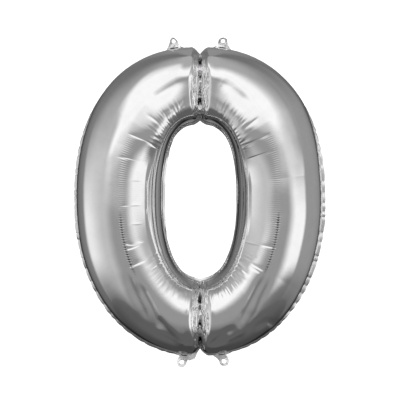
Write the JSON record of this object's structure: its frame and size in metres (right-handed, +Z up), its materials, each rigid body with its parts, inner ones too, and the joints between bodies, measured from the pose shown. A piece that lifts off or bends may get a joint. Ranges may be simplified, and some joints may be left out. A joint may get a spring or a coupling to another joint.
{
  "type": "foil number balloon",
  "caption": "Inflated metallised film balloon shaped as a zero, pinched at top and bottom, with punched hanging tabs and a self-sealing valve.",
  "frame": {"origin": "middle of the zero, in the plane of its seams", "axes": "+Z up the zero towards its upper notch, +X to the right seen from the front, -Y out of the front face"},
  "size_m": [0.702, 0.2214, 0.9197],
  "materials": {
    "foil": "mirror-bright silver metallised film",
    "valve_film": "thin clear film"
  },
  "bodies": {
    "balloon": {"front_foil_panel": "foil", "back_foil_panel": "foil", "valve_front_film": "valve_film", "valve_back_film": "valve_film"},
    "tab_top_left": {"hang_tab_top_left": "foil"},
    "tab_top_right": {"hang_tab_top_right": "foil"},
    "tab_bottom_left": {"hang_tab_bottom_left": "foil"},
    "tab_bottom_right": {"hang_tab_bottom_right": "foil"},
    "front_lip": {"valve_front_lip": "valve_film"},
    "back_lip": {"valve_back_lip": "valve_film"}
  },
  "joints": [
    {"name": "top_left_fold", "type": "hinge", "parent": "balloon", "child": "tab_top_left", "pos_m": [-0.07049, 0, 0.42787], "axis": [0.988, 0, 0.1547], "range_deg": [-100, 100], "stiffness_Nm_per_rad": 0.0005},
    {"name": "top_right_fold", "type": "hinge", "parent": "balloon", "child": "tab_top_right", "pos_m": [0.06176, 0, 0.42913], "axis": [0.9915, 0, -0.1304], "range_deg": [-100, 100], "stiffness_Nm_per_rad": 0.0005},
    {"name": "bottom_left_fold", "type": "hinge", "parent": "balloon", "child": "tab_bottom_left", "pos_m": [-0.04829, 0, -0.42958], "axis": [0.991, 0, -0.1338], "range_deg": [-100, 100], "stiffness_Nm_per_rad": 0.0005},
    {"name": "bottom_right_fold", "type": "hinge", "parent": "balloon", "child": "tab_bottom_right", "pos_m": [0.06376, 0, -0.42711], "axis": [0.9833, 0, 0.1822], "range_deg": [-100, 100], "stiffness_Nm_per_rad": 0.0005},
    {"name": "front_lip_fold", "type": "hinge", "parent": "balloon", "child": "front_lip", "pos_m": [-0.01968, -0.0001, -0.41637], "axis": [0.9987, 0, -0.0514], "range_deg": [0, 8], "stiffness_Nm_per_rad": 0.0002},
    {"name": "back_lip_fold", "type": "hinge", "parent": "balloon", "child": "back_lip", "pos_m": [-0.01968, 0.0001, -0.41637], "axis": [0.9987, 0, -0.0514], "range_deg": [-8, 0], "stiffness_Nm_per_rad": 0.0002}
  ],
  "couplings": [
    {"joint": "back_lip_fold", "follows": "front_lip_fold", "ratio": -1}
  ]
}
